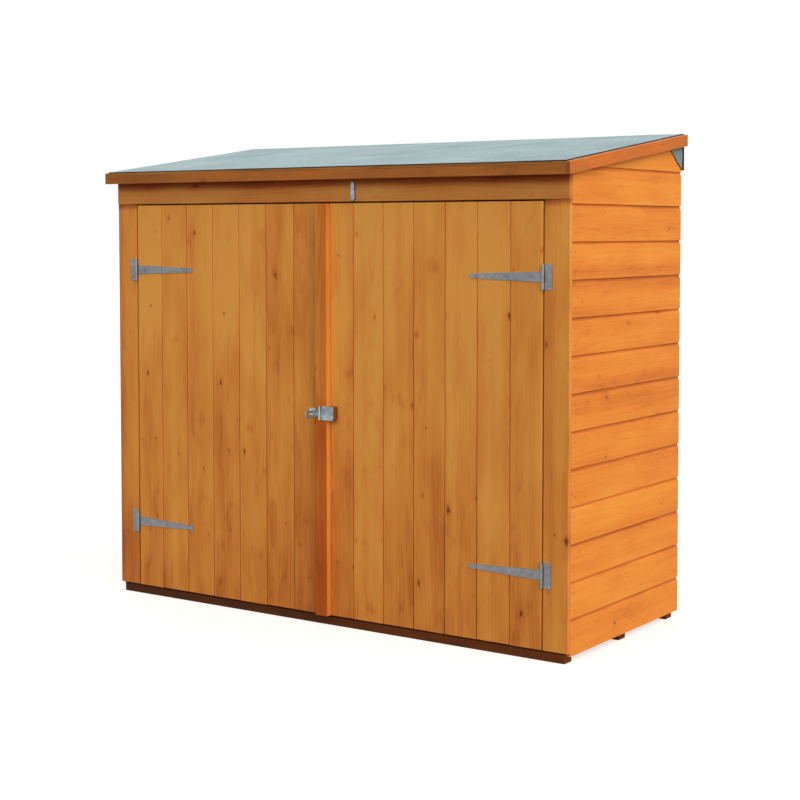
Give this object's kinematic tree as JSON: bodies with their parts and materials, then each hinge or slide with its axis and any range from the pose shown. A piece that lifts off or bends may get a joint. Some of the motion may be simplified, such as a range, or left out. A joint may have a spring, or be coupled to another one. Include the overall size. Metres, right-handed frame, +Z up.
{
  "type": "lean-to garden bike store",
  "caption": "Closed lean-to timber store for bicycles, with shiplap walls, a felted pent roof and a pair of boarded doors on T-hinges that shut with a hasp and a turn button.",
  "frame": {"origin": "on the ground under the middle bearer, at the middle of the plan", "axes": "+X to the right along the front, +Y from the doors to the back wall, +Z up"},
  "size_m": [1.876, 0.86, 1.6185],
  "materials": {
    "shiplap_softwood": "dip treated",
    "door_softwood": "dip treated",
    "trim_softwood": "dip treated",
    "framing_softwood": "dip treated, sawn",
    "bearer_timber": "pressure treated, sawn",
    "mineral_felt": "mineral faced",
    "galvanised_steel": "galvanised"
  },
  "bodies": {
    "store": {"front_bearer": "bearer_timber", "middle_bearer": "bearer_timber", "back_bearer": "bearer_timber", "floor_boards": "framing_softwood", "left_wall_cladding": "shiplap_softwood", "right_wall_cladding": "shiplap_softwood", "back_wall_cladding": "shiplap_softwood", "corner_posts": "framing_softwood", "bottom_rails": "framing_softwood", "top_rails": "framing_softwood", "side_wall_studs": "framing_softwood", "back_wall_studs": "framing_softwood", "left_jamb": "door_softwood", "right_jamb": "door_softwood", "header": "trim_softwood", "head_rail": "framing_softwood", "roof_boards": "framing_softwood", "roof_purlins": "framing_softwood", "fascia": "trim_softwood", "left_barge_board": "trim_softwood", "right_barge_board": "trim_softwood", "roof_felt": "mineral_felt", "left_top_hinge_plate": "galvanised_steel", "left_low_hinge_plate": "galvanised_steel", "right_top_hinge_plate": "galvanised_steel", "right_low_hinge_plate": "galvanised_steel", "turn_button_screw": "galvanised_steel"},
    "left_door": {"left_door_boards": "door_softwood", "left_door_ledges": "framing_softwood", "left_door_braces": "framing_softwood", "left_top_hinge_strap": "galvanised_steel", "left_low_hinge_strap": "galvanised_steel", "hasp_staple": "galvanised_steel"},
    "right_door": {"right_door_boards": "door_softwood", "right_door_ledges": "framing_softwood", "right_door_braces": "framing_softwood", "cover_strip": "trim_softwood", "right_top_hinge_strap": "galvanised_steel", "right_low_hinge_strap": "galvanised_steel", "hasp_packer": "trim_softwood", "hasp_plate": "galvanised_steel"},
    "hasp": {"hasp_strap": "galvanised_steel"},
    "turn_button": {"turn_button": "galvanised_steel"}
  },
  "joints": [
    {"name": "left_door_hinge", "type": "hinge", "parent": "store", "child": "left_door", "pos_m": [-0.8265, -0.3865, 0.711], "axis": [0, 0, -1], "range_deg": [0, 165]},
    {"name": "right_door_hinge", "type": "hinge", "parent": "store", "child": "right_door", "pos_m": [0.8265, -0.3865, 0.711], "axis": [0, 0, 1], "range_deg": [0, 165]},
    {"name": "hasp_hinge", "type": "hinge", "parent": "right_door", "child": "hasp", "pos_m": [0.005, -0.408, 0.703], "axis": [0, 0, 1], "range_deg": [-90, 75]},
    {"name": "turn_button_pivot", "type": "hinge", "parent": "store", "child": "turn_button", "pos_m": [0.128, -0.3888, 1.402], "axis": [0, 1, 0], "range_deg": [0, 180]}
  ]
}
